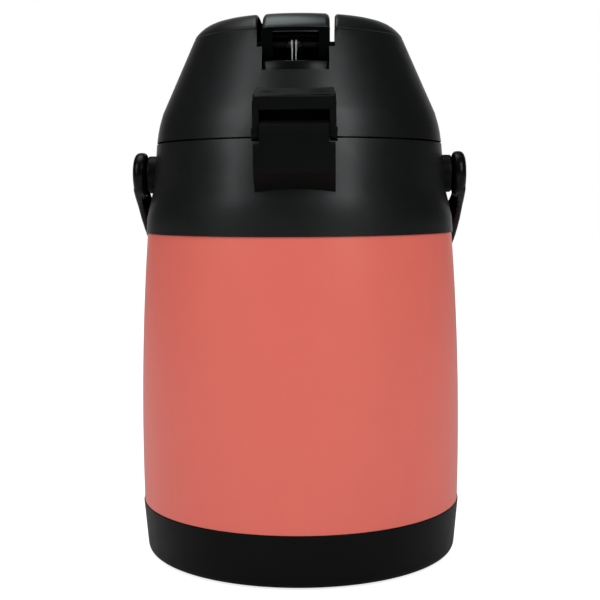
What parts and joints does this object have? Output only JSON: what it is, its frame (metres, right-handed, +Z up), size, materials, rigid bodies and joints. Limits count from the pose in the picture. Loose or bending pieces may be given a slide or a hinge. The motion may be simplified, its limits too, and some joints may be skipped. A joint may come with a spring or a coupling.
{
  "type": "pump pot",
  "caption": "Tall insulated pump pot with a lever in its hinged lid, a pouring spout, a folding carry handle and a swivelling base.",
  "frame": {"origin": "centre of the base on the table, on the body's axis", "axes": "+Z up along the body's axis, +Y towards the spout, +X to the right seen from the hinge side; the hinge is at -Y"},
  "size_m": [0.1712, 0.1935, 0.2718],
  "materials": {
    "coral_paint": "satin coral enamel on steel",
    "black_plastic": "satin moulded black",
    "dark_plastic": "matt moulded black",
    "steel": "brushed stainless",
    "spring_steel": "bright drawn wire",
    "silicone": "milky silicone",
    "rubber": "matt black rubber",
    "clear_plastic": "translucent moulded tube"
  },
  "bodies": {
    "pot": {"outer_shell": "coral_paint", "inner_vessel": "steel", "shell_bottom": "steel", "getter_cap": "steel", "base_cup": "black_plastic", "turntable_screw": "steel", "collar": "black_plastic", "neck_ring": "dark_plastic", "mouth_seal": "silicone", "dip_tube": "clear_plastic", "tube_seal": "silicone", "spout_pipe": "clear_plastic", "spout_hood": "black_plastic", "spout_plate": "black_plastic", "nozzle": "dark_plastic", "hinge_bracket": "black_plastic", "hinge_pin": "steel", "hinge_screws": "steel", "latch_catch": "steel", "handle_pins": "steel"},
    "turntable": {"turntable": "dark_plastic", "foot_pad": "rubber"},
    "handle": {"carry_handle": "black_plastic"},
    "lid": {"lid_cover": "black_plastic", "lever_well": "dark_plastic", "lid_base": "dark_plastic", "lid_gasket": "silicone", "lid_screws": "steel", "hinge_hood": "black_plastic", "air_valve": "silicone", "lever_pin": "steel", "lever_spring": "spring_steel", "bellows": "rubber", "bellows_spring": "spring_steel", "latch_pin": "steel", "latch_spring": "spring_steel"},
    "lever": {"pump_lever": "black_plastic"},
    "lock": {"lock_slide": "dark_plastic"},
    "pump_head": {"pump_head": "dark_plastic", "inlet_valve": "silicone"},
    "latch": {"latch_button": "black_plastic"}
  },
  "joints": [
    {"name": "base_swivel", "type": "hinge", "parent": "pot", "child": "turntable", "pos_m": [0, 0, 0], "axis": [0, 0, 1], "continuous": true},
    {"name": "handle_pivot", "type": "hinge", "parent": "pot", "child": "handle", "pos_m": [0, 0, 0.1946], "axis": [1, 0, 0], "range_deg": [0, 261]},
    {"name": "lid_hinge", "type": "hinge", "parent": "pot", "child": "lid", "pos_m": [0, -0.08, 0.2114], "axis": [1, 0, 0], "range_deg": [0, 85]},
    {"name": "lever_pivot", "type": "hinge", "parent": "lid", "child": "lever", "pos_m": [0, -0.05, 0.2544], "axis": [-1, 0, 0], "range_deg": [0, 10], "stiffness_Nm_per_rad": 2, "springref_deg": -5.73},
    {"name": "lock_travel", "type": "slide", "parent": "lever", "child": "lock", "axis": [0, 1, 0], "range_m": [0, 0.008]},
    {"name": "pump_travel", "type": "slide", "parent": "lid", "child": "pump_head", "axis": [0, 0, -1], "range_m": [0, 0.0089], "stiffness_N_per_m": 300, "springref_m": -0.004, "deforming": ["bellows", "bellows_spring"]},
    {"name": "latch_pivot", "type": "hinge", "parent": "lid", "child": "latch", "pos_m": [0, 0.0625, 0.2225], "axis": [-1, 0, 0], "range_deg": [0, 8], "stiffness_Nm_per_rad": 0.3, "springref_deg": -11.46}
  ],
  "couplings": [
    {"joint": "pump_travel", "follows": "lever_pivot", "m_per_rad": 0.0505}
  ]
}
